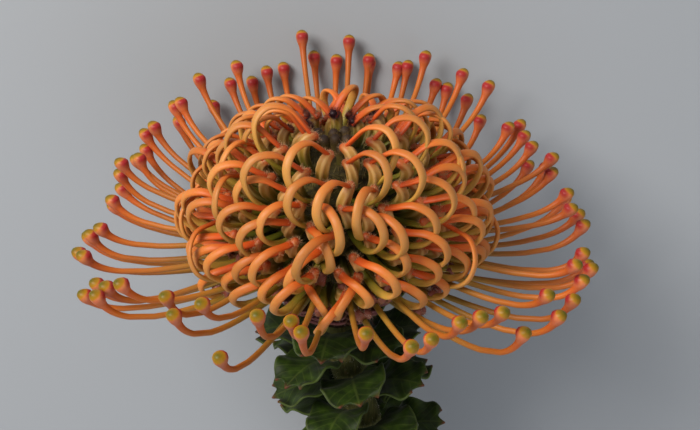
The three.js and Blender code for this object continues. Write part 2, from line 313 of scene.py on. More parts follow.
view = {
    "elevation": math.radians(32),  # above the head's rim, as photographed
    "distance": 300 * mm,
    "focalPixels": 1362,
    "picture": (700, 430),
    "headPixel": (337, 222),  # where the head's middle stands in the picture
    "sensorWidth": 36,
    "lights": [  # name, place, size, power and colour
        ("keyLight", (-0.46, 0.48, 0.56), 0.42, 7.2, "#fff6ec"),
        ("fillLight", (0.3, -0.5, 0.8), 0.9, 2.2, "#f2f5ff"),
    ],
    "skyColour": "#e8e6e2",
    "skyStrength": 0.42,
    "floorColour": "#9ea5ad",
}


def makeCamera():
    away = Vector((0, -math.cos(view["elevation"]), math.sin(view["elevation"])))
    right = Vector((1, 0, 0))
    up = away.cross(right)
    metresPerPixel = view["distance"] / view["focalPixels"]
    offRight = (view["picture"][0] / 2 - view["headPixel"][0]) * metresPerPixel
    offUp = (view["headPixel"][1] - view["picture"][1] / 2) * metresPerPixel
    eye = away * view["distance"]
    aim = right * offRight + up * offUp
    back = (eye - aim).normalized()
    right = up.cross(back).normalized()
    turned = Matrix((right, back.cross(right), back)).transposed().to_4x4()
    bpy.ops.object.camera_add()
    camera = bpy.context.object
    camera.matrix_world = laidDown @ Matrix.Translation(eye) @ turned
    camera.data.sensor_width = view["sensorWidth"]
    camera.data.lens = view["sensorWidth"] * view["focalPixels"] / view["picture"][0]
    camera.data.clip_start = 10 * mm
    bpy.context.scene.camera = camera


def areaLight(name, place, size, power, colour):
    bpy.ops.object.light_add(type="AREA", location=place)
    light = bpy.context.object
    light.name = name
    light.data.size = size
    light.data.energy = power
    light.data.color = hexColour(colour)[:3]
    toHead = Vector((0, flower["placeY"], flower["headHeight"])) - Vector(place)
    light.rotation_euler = toHead.to_track_quat("-Z", "Y").to_euler()


def makeStudio():
    for light in view["lights"]:
        areaLight(*light)
    world = bpy.data.worlds.new("studio")
    bpy.context.scene.world = world
    world.use_nodes = True
    sky = world.node_tree.nodes["Background"]
    sky.inputs["Color"].default_value = hexColour(view["skyColour"])
    sky.inputs["Strength"].default_value = view["skyStrength"]

    deselectAll()
    bpy.ops.mesh.primitive_plane_add(size=4)
    floor = bpy.context.object
    floor.name = "studioFloor"
    material, tree = newMaterial("paintedBoard")  # matt and pale
    finishMaterial(tree, view["floorColour"], 0.75)
    floor.data.materials.append(material)


bpy.context.scene.view_settings.view_transform = "Standard"  # the orange stays as warm as the flower's
makeCamera()
makeStudio()
print("camera, light and floor are set")


# Open styles: each runs out from the receptacle, turns up and ends in a club with a slanted face

openStyle = {
    "rootRadius": 10 * mm,
    "rootLow": -12 * mm,
    "rootHigh": -2 * mm,
    "tipLow": -9 * mm,
    "tipHigh": 1 * mm,
    "tipStray": 3.5 * mm,
    "reachLow": 1 * mm,  # past the head's radius
    "reachHigh": -4 * mm,
    "reachStray": 1.5 * mm,
    "frontRise": 13.5 * mm,
    "backRise": 20 * mm,
    "frontReach": -5 * mm,
    "frontRow": 0.35,
    "frontEvenness": 0.7,
    "curl": 12 * mm,
    "curlStray": 3 * mm,
    "frontCurl": 5 * mm,
    "turns": 31,  # round the head, from the first style to the last
    "gatherBack": 0.36,  # how far they are drawn from the front to the back
    "gatherSides": 0.15,
    "footRadius": 0.74 * mm,
    "radius": 0.63 * mm,
    "neckRadius": 0.84 * mm,  # swollen below the club
    "neckStart": 0.77,  # share of the style's length
    "clubRadius": 1.54 * mm,
    "clubStart": 0.908,
    "clubWidest": 0.968,
    "faceLean": 33,  # degrees
    "faceSpread": 80,
    "faceSlant": 0.3,  # the club's outer edge stands further along than its inner edge
    "faceStretch": 0.12,  # longer than wide
    "typicalLength": 55 * mm,
    "sides": 12,
}


def openStyleBlank():
    s = openStyle
    stations = [(0.06 * k, mix(s["footRadius"], s["radius"], min(1, k / 7))) for k in range(12)]
    for k in range(8):
        place = mix(s["neckStart"], s["clubStart"] - 0.005, k / 7)
        stations.append((place, mix(s["radius"], s["neckRadius"], (k / 7) ** 2)))
    for share in (0.15, 0.32, 0.5, 0.68, 0.85, 1):
        flare = math.sin(share * math.pi / 2) ** 1.3
        place = mix(s["clubStart"], s["clubWidest"], share)
        stations.append((place, mix(s["neckRadius"], s["clubRadius"], flare)))
    for angle in (16, 32, 48, 63, 76, 86):  # the face is a dome
        place = mix(s["clubWidest"], 1, math.sin(math.radians(angle)))
        stations.append((place, s["clubRadius"] * math.cos(math.radians(angle))))
    blank = turnedBlank("openStyle", s["sides"], stations)
    points = readPoints(blank)
    along = points[:, 0].copy()
    inner = points[:, 2] / s["clubRadius"]  # 1 on the side towards the head's axis
    clubShare = np.clip((along - s["clubStart"]) / (1 - s["clubStart"]), 0, 1)
    ringRadius = np.hypot(points[:, 1], points[:, 2]) / s["clubRadius"]
    # the face is set round a middle that leans towards the outer side
    toTip = (along - s["clubWidest"]) / (1 - s["clubWidest"])
    middle = math.radians(s["faceLean"])
    ahead = toTip * math.cos(middle) - inner * math.sin(middle)
    fromMiddle = np.arccos(np.clip(ahead / np.maximum(np.hypot(toTip, ringRadius), 1e-6), -1, 1))
    face = np.clip(1 - np.degrees(fromMiddle) / s["faceSpread"], 0, 1) * (along > s["clubStart"])
    slant = s["faceSlant"] * clubShare**2 / s["typicalLength"]
    points[:, 0] = along - slant * (points[:, 2] + s["clubRadius"])
    points[:, 2] *= 1 + s["faceStretch"] * clubShare
    writePoints(blank, points)
    writeShares(blank, along=along, inner=inner, face=face)
    return blank


def openStylePaths():
    s = openStyle
    draw = seededDraws(4021)
    for i in range(flower["openCount"]):
        share = (i + 0.5) / flower["openCount"]
        around = i / flower["openCount"] * s["turns"] * 2 * math.pi
        even = flower["spiralStart"] + around + math.radians(2) * next(draw)
        azimuth = even + s["gatherBack"] * math.cos(even) - s["gatherSides"] * math.sin(2 * even)
        sweep = math.radians(3) * next(draw)
        front, back = inFront(azimuth), inFront(-azimuth)
        root = mix(s["rootLow"], s["rootHigh"], share)
        row = mix(s["tipLow"], s["tipHigh"], mix(share, s["frontRow"], s["frontEvenness"] * front))
        tip = row + s["frontRise"] * front + s["backRise"] * back + s["tipStray"] * next(draw)
        reach = mix(s["reachLow"], s["reachHigh"], share) + s["frontReach"] * front
        reach += flower["headRadius"] + s["reachStray"] * next(draw)
        curl = s["curl"] + s["frontCurl"] * front + s["curlStray"] * next(draw)
        path = bezierPath(
            aroundAxis(s["rootRadius"], azimuth, root),
            aroundAxis(0.5 * reach, azimuth + 0.1 * sweep, mix(root, tip, 0.25) - 3 * mm),
            aroundAxis(reach - 2.5 * mm, azimuth + 0.8 * sweep, tip - curl),
            aroundAxis(reach, azimuth + sweep, tip),
        )
        yield np.array([lieOnSurface(Vector(p), 0.95 * s["clubRadius"]) for p in path]), besideAxis(azimuth)


def plantSkin(name, stops, *more):
    # skin that changes colour along the piece, faintly mottled, and has its own tone on each copy
    material, tree = newMaterial(name)
    shares = []
    for share in ("along", "tone", *more):
        shares.append(addNode(tree, "Attribute", {"attribute_name": share}, output="Fac"))
    along, tone, *more = shares
    place = addNode(tree, "TexCoord", output="Object")
    mottle = addNode(tree, "TexNoise", inputs={"Vector": place, "Scale": 1 / (1.6 * mm), "Detail": 3})
    shifted = addNode(tree, "Math", {"operation": "MULTIPLY_ADD"}, {0: mottle, 1: 0.08, 2: along})
    centred = addNode(tree, "Math", {"operation": "SUBTRACT"}, {0: shifted, 1: 0.04})
    skin = addNode(tree, "ValToRGB", inputs={"Fac": centred}, stops=stops)
    brightness = addNode(tree, "MapRange", inputs={"Value": tone, "To Min": 0.82, "To Max": 1.12})
    toned = addNode(tree, "HueSaturation", inputs={"Color": skin, "Value": brightness})
    return material, tree, toned, along, place, *more


def dryMaterial(name, stops, roughness):
    material, tree, toned, *_ = plantSkin(name, stops)
    finishMaterial(tree, toned, roughness)
    return material


def waxyDepth(specular, weight, spread, depth):
    # a soft gloss, and light that goes a little way into the flesh
    return {
        "Specular IOR Level": specular,
        "Subsurface Weight": weight,
        "Subsurface Radius": spread,
        "Subsurface Scale": depth,
    }


def openStyleMaterial():
    # waxy fleshy style: olive at the foot, then ochre and orange up to the club
    stops = [(0, "#5c5814"), (0.2, "#7c7026"), (0.4, "#9c762a"), (0.62, "#b8722c"), (0.83, "#c46a22")]
    stops += [(0.91, "#c25e26"), (0.955, "#cf7650"), (1, "#d28640")]
    material, tree, toned, along, place, inner, face = plantSkin("waxyOpenStyle", stops, "inner", "face")
    # the club blushes crimson on its inner flank
    nearClub = addNode(tree, "MapRange", smooth, {"Value": along, "From Min": 0.925, "From Max": 0.97})
    innerSide = addNode(tree, "MapRange", smooth, {"Value": inner, "From Min": -0.1, "From Max": 0.7})
    blush = addNode(tree, "Math", {"operation": "MULTIPLY"}, {0: nearClub, 1: innerSide})
    blushed = addNode(tree, "Mix", ofColours, {"Factor": blush, 6: toned, 7: "#a4282a"}, output=2)
    # and its face is ochre yellow, olive in the middle
    stops = [(0.08, "#c87a2c"), (0.22, "#b67e12"), (0.4, "#9e7608"), (0.6, "#866802"), (0.85, "#625c02")]
    faceColour = addNode(tree, "ValToRGB", inputs={"Fac": face}, stops=stops)
    faceShare = addNode(tree, "MapRange", smooth, {"Value": face, "From Min": 0.03, "From Max": 0.28})
    faced = addNode(tree, "Mix", ofColours, {"Factor": faceShare, 6: blushed, 7: faceColour}, output=2)
    pores = addNode(tree, "TexNoise", inputs={"Vector": place, "Scale": 1 / (0.25 * mm)})
    depth = waxyDepth(0.35, 0.3, (1.0, 0.42, 0.12), 1.2 * mm)
    finishMaterial(tree, faced, 0.46, (pores, 0.12, 0.1 * mm), depth)
    return material


spent = {
    "tubeRadius": 1.05 * mm,
    "tubeShare": 0.24,  # of the style's length
    "tube": [(0, 0.8), (0.5, 1), (0.8, 1.1), (0.96, 1), (1, 0.7)],  # place along it and share of its radius
    "curlRadius": 1.25 * mm,
    "curlWidth": 1.15 * mm,
    "curlThickness": 0.3 * mm,
    "curlSteps": 9,
    "hairs": 46,  # on each curl
    "hair": ("spentFloretHair", 0.04 * mm, "#6a3a40", "#dcc4b4"),  # finish, radius, dark and pale
}


def makeSpentFlorets():
    # the opened florets' tubes stay on their styles, split and curled back, downy outside
    tube = turnedBlank("spentTube", 10, spent["tube"], spent["tubeRadius"])
    writeShares(tube, along=0.5 * readPoints(tube)[:, 0])
    stations = [(k / 14, spent["curlWidth"] * (1 - 0.5 * (k / 14) ** 2)) for k in range(15)]
    curl = turnedBlank("spentCurl", 8, stations)
    points = readPoints(curl)
    writeShares(curl, along=0.5 + 0.5 * points[:, 0])
    points[:, 2] *= spent["curlThickness"] / spent["curlWidth"]
    writePoints(curl, points)
    shade = random.Random(59)
    copies, strands = [], []
    for path, side in openStylePaths():
        tone = shade.random()
        share = spent["tubeShare"] * shade.uniform(0.85, 1.2)
        end = int(share * (len(path) - 1))
        copies.append(laidAlong(tube, path[: end + 1], side, tone))
        tangent = Vector(path[end] - path[end - 1]).normalized()
        for turn in (shade.uniform(0.3, 0.8), shade.uniform(-0.8, -0.3)):
            lift = tangent.cross(side).normalized()
            if lift.z < 0:
                lift.negate()
            lift = (lift + turn * side).normalized()
            start = Vector(path[end]) + lift * 0.6 * mm - tangent * 0.8 * mm
            size = spent["curlRadius"] * shade.uniform(0.8, 1.25)
            middle = start + tangent * 1.2 * mm + lift * size
            route = [start]
            for step in range(spent["curlSteps"]):
                angle = -math.pi / 2 + step * shade.uniform(0.5, 0.62)
                shrink = size * (1 - 0.05 * step)
                route.append(middle + tangent * shrink * math.cos(angle) + lift * shrink * math.sin(angle))
            across = tangent.cross(lift)
            copies.append(laidAlong(curl, throughPoints(route, 4), across, tone))
            for _ in range(spent["hairs"]):
                root = route[shade.randrange(2, len(route))] + across * shade.uniform(-0.9, 0.9) * mm
                away = (root - middle).normalized() + strayed(shade, 0.4)
                strands.append((root, root + away * shade.uniform(0.4, 1.3) * mm, shade.random() ** 1.3))
    bpy.data.objects.remove(curl)
    # dry silky tube: olive below, rust and mauve where it has split and rolled back
    stops = [(0, "#4c4a1c"), (0.3, "#8a7434"), (0.6, "#a86a3c"), (0.8, "#96503e"), (1, "#7a3f44")]
    skin = dryMaterial("spentFloretSkin", stops, 0.5)
    layDown(joined(copies, "spentFlorets", tube), skin)
    layHairs("spentHairs", strands, spent["hair"])


def makeOpenStyles():
    blank = openStyleBlank()
    shade = random.Random(11)
    copies = [laidAlong(blank, path, side, shade.random()) for path, side in openStylePaths()]
    layDown(joined(copies, "openStyles", blank), openStyleMaterial())


makeOpenStyles()
makeSpentFlorets()
print("open styles stand")


# Looped florets: the style bows out and its tip is held in a hairy hood, at the end of a ribbed sleeve

loop = {
    "sineLow": 0.05,  # sine of the hoods' latitude, so that they stand evenly
    "sineHigh": 0.955,
    "frontDrop": math.radians(13),  # how much lower the lowest ones stand in front
    "hoodLow": 23.2 * mm,  # from the head's middle
    "hoodHigh": 25.5 * mm,
    "hoodStray": 0.8 * mm,
    "rootDistance": 12 * mm,
    "lean": math.radians(35),
    "bulge": 6 * mm,
    "leastTurn": 0.45,
    "turnSpread": 0.4,
    "sideHand": 1.1,
    "apart": 0.1,
    "size": 1.1,
    "sizeStray": 0.07,
    "backShrink": 0.35,  # behind the top the loops are smaller and stand lower
    "backSink": 2.5 * mm,
    "frontShrink": 0.2,  # low in front, so that the clubs stand clear
    "sideLatitude": math.radians(12),  # where the loops at the sides reach out furthest
    "sideWidth": math.radians(32),
    "sideReach": 0.3,
    "sideLift": 2.5 * mm,
    # out from the hood and on towards the rim, in mm, and share of the bulge
    "stylePath": [
        (-10, 1.5, 0), (-5, 6.2, 0), (-0.5, 9, 0.15), (3.6, 9.8, 0.5), (7, 8.4, 0.9),
        (8.4, 5, 1), (7, 1.6, 0.7), (3.6, 0.1, 0.25), (1.3, -0.7, 0.05), (0.5, -1.1, 0),
    ],
    "sleevePath": [
        (0.7, -1.7, 0), (1.3, -0.6, 0), (1.1, 0.7, 0.03), (-0.6, 1.9, 0.03), (-4, 2.3, 0), (-10, 1.5, 0),
    ],
    "width": 0.98 * mm,
    "flatness": 0.52,
    "rootWidth": 0.55 * mm,
    "hoodWidth": 0.92 * mm,
    "rings": 44,
    "between": 68,  # more loops than the solids have, in the gaps between them
    "betweenTrials": 1500,
    # place along the sleeve and its radius in mm
    "sleeve": [
        (0, 0.3), (0.02, 0.6), (0.05, 0.8), (0.1, 0.94), (0.16, 1.04), (0.22, 1.12), (0.3, 1.16),
        (0.38, 1.14), (0.47, 1.06), (0.56, 0.96), (0.66, 0.86), (0.8, 0.78), (1, 0.75),
    ],
    "ribs": 5,
    "ribDepth": 0.1,
    "hairs": 320,  # round each hood
    "hair": ("silkyHoodHair", 0.032 * mm, "#3a1722", "#eab888"),
    "woollyFrom": 45,  # degrees of latitude above which hoods are dark and woolly
    "woollyOver": 22,
}


def loopBlank():
    stations = []
    for k in range(loop["rings"] + 1):
        share = k / loop["rings"]
        bend = math.sin(math.pi * min(1, max(0, (share - 0.1) / 0.9))) ** 0.7
        ends = mix(loop["rootWidth"], loop["hoodWidth"], share)
        stations.append((share, mix(ends, loop["width"], bend)))
    blank = turnedBlank("styleLoop", 10, stations)
    points = readPoints(blank)
    writeShares(blank, along=points[:, 0])
    points[:, 2] *= loop["flatness"]
    writePoints(blank, points)
    return blank


def sleeveBlank():
    blank = turnedBlank("floretSleeve", 30, loop["sleeve"], mm)
    points = readPoints(blank)
    angle = np.arctan2(points[:, 2], points[:, 1])
    rib = np.cos(loop["ribs"] * angle)
    deep = loop["ribDepth"] * np.clip((points[:, 0] - 0.05) / 0.2, 0, 1)
    points[:, 1:] *= (1 + deep * (np.abs(rib) ** 0.7 * np.sign(rib) - 0.2))[:, None]
    writePoints(blank, points)
    writeShares(blank, along=points[:, 0], rib=rib)
    return blank


def loopTurn(azimuth, hand):
    # most lean away from the middle of the front, so that they stand open rather than edge on
    side = -math.sin(2 * azimuth)
    turn = math.copysign(loop["leastTurn"] + loop["turnSpread"] * abs(hand), hand + loop["sideHand"] * side)
    return turn + loop["apart"] * side


def loopSpot(azimuth, latitude, share, turn, size, hood, reach, lift):
    # larger low down at the sides, smaller low in front, and smaller and deeper behind the top
    outward = max(0, 1 - abs(latitude - loop["sideLatitude"]) / loop["sideWidth"]) * math.cos(azimuth) ** 2
    behind = 0.5 * (1 + math.sin(azimuth)) * share**2
    size *= 1 + reach * outward
    size *= 1 - loop["frontShrink"] * inFront(azimuth) * (1 - share) ** 2
    size *= 1 - loop["backShrink"] * behind
    return azimuth, latitude, turn, size, hood + lift * outward - loop["backSink"] * behind


def loopSpots():
    # azimuth, latitude, turn, size and hood distance of each looped floret
    draw = seededDraws(209)
    spots = []
    for j in range(flower["loopCount"]):
        share = (j + 0.5) / flower["loopCount"]
        azimuth = flower["spiralStart"] + (flower["openCount"] + j) * goldenAngle
        azimuth += math.radians(3) * next(draw)
        latitude = math.asin(mix(loop["sineLow"], loop["sineHigh"], share))
        latitude -= loop["frontDrop"] * inFront(azimuth) * (1 - share) ** 2
        turn = loopTurn(azimuth, next(draw))
        size = loop["size"] * (1 + loop["sizeStray"] * next(draw))
        hood = mix(loop["hoodLow"], loop["hoodHigh"], share) + loop["hoodStray"] * next(draw)
        spots.append(loopSpot(azimuth, latitude, share, turn, size, hood, 0.4 * loop["sideReach"], 0))

    # further ones stand lower in the widest gaps between those
    shade = random.Random(71)
    trials = []
    for _ in range(loop["betweenTrials"]):
        trials.append((shade.uniform(0, 2 * math.pi), math.asin(shade.uniform(-0.05, 0.95))))
    points = np.array([onDome(1, *trial) for trial in trials])
    room = np.min([np.linalg.norm(points - onDome(1, *spot[:2]), axis=1) for spot in spots], axis=0)
    for _ in range(loop["between"]):
        widest = int(np.argmax(room))
        room = np.minimum(room, np.linalg.norm(points - points[widest], axis=1))
        azimuth, latitude = trials[widest]
        turn = loopTurn(azimuth, shade.uniform(-1, 1))
        hood = mix(loop["hoodLow"], loop["hoodHigh"], math.sin(latitude)) - shade.uniform(0.8, 2) * mm
        size = loop["size"] * shade.uniform(0.86, 0.98)
        share = max(0, math.sin(latitude))
        spot = loopSpot(azimuth, latitude, share, turn, size, hood, loop["sideReach"], loop["sideLift"])
        spots.append(spot)
    return spots


def loopFrames():
    for azimuth, latitude, turn, size, hood in loopSpots():
        lean = loop["lean"] * turn
        out = onDome(1, azimuth, latitude)
        down = onDome(1, azimuth, latitude - math.pi / 2)
        aside = besideAxis(azimuth)
        onward = down * math.cos(lean) + aside * math.sin(lean)
        sideways = aside * math.cos(lean) - down * math.sin(lean)

        def place(outBy, onBy, bulgeShare):
            point = out * (hood + size * outBy * mm) + onward * (size * onBy * mm)
            return point + sideways * (loop["bulge"] * turn * bulgeShare)

        yield place, out, onward, sideways, latitude


def loopMaterial():
    # waxy style: olive where it leaves the floret, ochre and peach round the bend, red orange into the hood
    stops = [(0, "#434a0e"), (0.18, "#6c6e18"), (0.3, "#95862a"), (0.41, "#b9943c"), (0.52, "#c89246")]
    stops += [(0.63, "#cc8a46"), (0.76, "#d0742c"), (0.88, "#d25a1c"), (1, "#bc4218")]
    material, tree, toned, _, place = plantSkin("waxyLoopedStyle", stops)
    grain = addNode(tree, "TexNoise", inputs={"Vector": place, "Scale": 1 / (0.3 * mm)})
    depth = waxyDepth(0.4, 0.2, (1.0, 0.4, 0.15), 0.8 * mm)
    finishMaterial(tree, toned, 0.48, (grain, 0.1, 0.1 * mm), depth)
    return material


def sleeveMaterial():
    # floret tube: flushed orange under the hood, pale straw then olive brown further down; a painted shade
    # darkens it, which shows in the grooves, and a painted highlight lies on the rib crests
    stops = [(0, "#c4522a"), (0.08, "#d0723a"), (0.17, "#d0a05a"), (0.3, "#c09a48"), (0.45, "#94842e")]
    stops += [(0.62, "#646820"), (1, "#363a10")]
    material, tree, toned, along, _, rib, woolly = plantSkin("floretSleevePaintedRibLight", stops, "rib", "woolly")
    # painted highlight: the rib crests turn pale, most a little below the hood, fading out further down
    ribShare = addNode(tree, "MapRange", smooth, {"Value": rib, "From Min": -0.7, "From Max": 0.9})
    stops = [(0.05, "#000000"), (0.22, "#a8a8a8"), (0.5, "#6a6a6a"), (0.85, "#000000")]
    ribHighlightBand = addNode(tree, "ValToRGB", inputs={"Fac": along}, stops=stops)
    ribHighlightShare = addNode(tree, "Math", {"operation": "MULTIPLY"}, {0: ribShare, 1: ribHighlightBand})
    # painted shade: a multiply darkens the whole tube, which is what the grooves between the pale crests keep
    grooveShadeInputs = {"Factor": 0.4, 6: toned, 7: "#a88a58"}
    paintedGrooveShade = addNode(tree, "Mix", {**ofColours, "blend_type": "MULTIPLY"}, grooveShadeInputs, output=2)
    # the pale painted highlight colour laid on the crests over the shaded tube
    ribLightAndShade = addNode(tree, "Mix", ofColours, {"Factor": ribHighlightShare, 6: paintedGrooveShade, 7: "#e8c888"}, output=2)
    # the hoods behind the hollow at the top are nearly black
    upperEnd = addNode(tree, "MapRange", smooth, {"Value": along, "From Min": 0.3, "From Max": 0.05})
    darkShare = addNode(tree, "Math", {"operation": "MULTIPLY"}, {0: woolly, 1: upperEnd})
    darkened = addNode(tree, "Mix", ofColours, {"Factor": darkShare, 6: ribLightAndShade, 7: "#2a1119"}, output=2)
    finishMaterial(tree, darkened, 0.44, others=waxyDepth(0.35, 0.12, (1.0, 0.5, 0.2), 0.6 * mm))
    return material


def makeLoops():
    styleBlank = loopBlank()
    tubeBlank = sleeveBlank()
    shade = random.Random(23)
    styles, sleeves, strands = [], [], []
    for place, out, onward, sideways, latitude in loopFrames():
        tone = shade.random()
        stylePath = throughPoints([place(*p) for p in loop["stylePath"]])
        styles.append(laidAlong(styleBlank, stylePath, sideways, tone))
        sleevePath = throughPoints([place(*p) for p in loop["sleevePath"]])
        sleeves.append(laidAlong(tubeBlank, sleevePath, sideways, tone, width=mix(1.06, 1.24, tone)))
        nearTop = min(1, max(0, (math.degrees(latitude) - loop["woollyFrom"]) / loop["woollyOver"]))
        nearTop *= min(1, max(0, 0.5 + 1.6 * out.y))  # mostly the ones behind
        writeShares(sleeves[-1], woolly=nearTop)
        hoodMiddle, styleEnd = place(0.5, -0.7, 0), place(2.2, 0.1, 0.12)
        for _ in range(int(loop["hairs"] * (1 + nearTop))):
            direction = (strayed(shade, 1).normalized() + 0.5 * out - 0.9 * onward).normalized()
            root = hoodMiddle.lerp(styleEnd, shade.random() ** 1.5) + direction * 0.8 * mm
            away = direction + strayed(shade, 0.35)
            tip = root + away * mix(0.35, 1.1, shade.random() ** 1.5) * mm
            strands.append((root, tip, max(0, 0.3 + 0.7 * shade.random() - nearTop)))
    layDown(joined(styles, "styleLoops", styleBlank), loopMaterial())
    layDown(joined(sleeves, "floretSleeves", tubeBlank), sleeveMaterial())
    layHairs("hoodHairs", strands, loop["hair"])


makeLoops()
print("looped florets stand")


# The receptacle that all florets stand on, and the shut buds in the hollow at its top

receptacle = {
    "profile": [(8.5, -15), (11.5, -10), (14.2, -3), (14.8, 4), (12.6, 11), (8.6, 15), (3.5, 17)],  # mm
    "bottom": -15.2 * mm,
    "top": 17.6 * mm,
    "hairs": 5200,
    "hairHeight": 16.5 * mm,
    "hair": ("receptacleWool", 0.07 * mm, "#36300f", "#a8965c"),
}
bud = {
    "tipDistance": 22.4 * mm,
    "low": math.radians(76),
    "high": math.radians(88),
    # place along the bud and its radius in mm
    "stations": [
        (0, 0.9), (0.3, 0.95), (0.55, 1), (0.68, 1.15), (0.8, 1.3),
        (0.88, 1.25), (0.94, 1.05), (0.98, 0.65), (1, 0.25),
    ],
    "hairs": 150,  # on each bud
    "hair": ("downyBudHair", 0.04 * mm, "#33260c", "#8a6f38"),
}


def patchyMaterial(name, size, detail, stops, stretch=None):
    # a surface coloured in patches of a size, which may be stretched
    material, tree = newMaterial(name)
    place = addNode(tree, "TexCoord", output="Object")
    if stretch:
        place = addNode(tree, "Mapping", inputs={"Vector": place, "Scale": stretch})
    patches = addNode(tree, "TexNoise", inputs={"Vector": place, "Scale": 1 / size, "Detail": detail})
    return material, tree, patches, addNode(tree, "ValToRGB", inputs={"Fac": patches}, stops=stops)


def makeReceptacle():
    deselectAll()
    bpy.ops.mesh.primitive_uv_sphere_add(segments=48, ring_count=32, radius=1)
    core = bpy.context.object
    points = readPoints(core)
    radii, heights = np.array(receptacle["profile"]).T * mm
    around = np.arctan2(points[:, 1], points[:, 0])
    share = (1 - np.cos(np.pi * (points[:, 2] + 1) / 2)) / 2
    height = mix(receptacle["bottom"], receptacle["top"], share)
    radius = np.interp(height, heights, radii)
    radius *= np.clip(np.minimum(share, 1 - share) / 0.02, 0, 1) ** 0.5
    radius *= 1 + 0.02 * np.sin(23 * around + 900 * height)  # rows of floret bases
    writePoints(core, np.stack([radius * np.cos(around), radius * np.sin(around), height], 1))
    bpy.ops.object.shade_smooth()
    core.name = "receptacle"
    # woolly tissue: soft dark olive clumps
    stops = [(0.3, "#1e1809"), (0.55, "#423a14"), (0.75, "#6c602a")]
    material, tree, clumps, colour = patchyMaterial("woollyReceptacle", 1.5 * mm, 5, stops)
    finishMaterial(tree, colour, 0.9, (clumps, 0.8, 0.8 * mm))
    layDown(core, material)

    shade = random.Random(83)
    strands = []
    for _ in range(receptacle["hairs"]):
        direction = onDome(1, shade.uniform(0, 2 * math.pi), math.asin(shade.uniform(-0.6, 1)))
        level = math.hypot(direction.x, direction.y)
        height = direction.z * receptacle["hairHeight"]
        radius = np.interp(height, heights, radii) * (0.95 if level > 0.2 else level)
        root = Vector((0, 0, height)) + Vector((direction.x, direction.y, 0)) / max(level, 1e-6) * radius
        away = (direction + strayed(shade, 0.5)).normalized()
        strands.append((root, root + away * shade.uniform(1.2, 3.4) * mm, shade.random() ** 2))
    layHairs("receptacleWool", strands, receptacle["hair"])


def makeBuds():
    blank = turnedBlank("shutBud", 16, bud["stations"], mm)
    writeShares(blank, along=readPoints(blank)[:, 0])
    shade = random.Random(5)
    copies, strands = [], []
    for b in range(flower["budCount"]):
        turns = flower["openCount"] + flower["loopCount"] + b
        azimuth = flower["spiralStart"] + turns * goldenAngle
        latitude = mix(bud["low"], bud["high"], (b + 0.5) / flower["budCount"])
        end = onDome(bud["tipDistance"], azimuth, latitude)
        path = np.array([onDome(loop["rootDistance"], azimuth, latitude), end])
        copies.append(laidAlong(blank, path, besideAxis(azimuth), shade.random()))
        axis = end.normalized()
        middle = end - axis * 1.6 * mm
        for _ in range(bud["hairs"]):
            direction = (strayed(shade, 1).normalized() + 0.5 * axis).normalized()
            root = middle + direction * 1.15 * mm
            tip = root + (direction + 0.4 * axis) * mix(0.3, 1.1, shade.random()) * mm
            strands.append((root, tip, shade.random() ** 2))
    # downy bud: olive at the foot, nearly black at the tip
    stops = [(0, "#3a3c12"), (0.5, "#6a6424"), (0.72, "#6a5a26"), (0.88, "#4c3a1c"), (1, "#2c1a16")]
    down = dryMaterial("downyBud", stops, 0.7)
    layDown(joined(copies, "shutBuds", blank), down)
    layHairs("budHairs", strands, bud["hair"])


makeReceptacle()
makeBuds()
print("receptacle and buds stand")


# Bracts on the collar under the head

bract = {
    "rows": [  # count, foot height, foot radius, tip height, tip radius and half width in mm
        (6, -22.8, 5.4, -20.0, 11.0, 2.7),
        (7, -21.4, 5.9, -18.7, 12.0, 2.7),
        (8, -20.0, 6.4, -17.4, 13.0, 2.6),
        (9, -18.6, 6.7, -16.2, 13.8, 2.5),
        (10, -17.2, 7.0, -15.0, 14.5, 2.4),
    ],
    "thickness": 0.6 * mm,
    "collar": [(0, 5.2), (0.45, 7), (0.85, 8.2), (1, 8.4)],  # share of the height, radius in mm
    "collarBottom": -25 * mm,
    "collarTop": -15.3 * mm,
    "hairs": 26,  # on each bract
    "hair": ("bractDown", 0.035 * mm, "#8a5a64", "#e6d8d4"),
}


def bladeGrid(name, across, along):
    # a grid whose X runs across from -1 to 1 and whose Y runs along from 0 to 1
    deselectAll()
    bpy.ops.mesh.primitive_grid_add(x_subdivisions=across, y_subdivisions=along, size=2)
    piece = bpy.context.object
    piece.name = name
    points = readPoints(piece)
    return piece, points[:, 0], (points[:, 1] + 1) / 2


def thicken(piece, thickness):
    solidify = piece.modifiers.new("thickness", "SOLIDIFY")
    solidify.thickness = thickness
    solidify.offset = 0
    bpy.context.view_layer.objects.active = piece
    bpy.ops.object.modifier_apply(modifier=solidify.name)
    bpy.ops.object.shade_smooth()


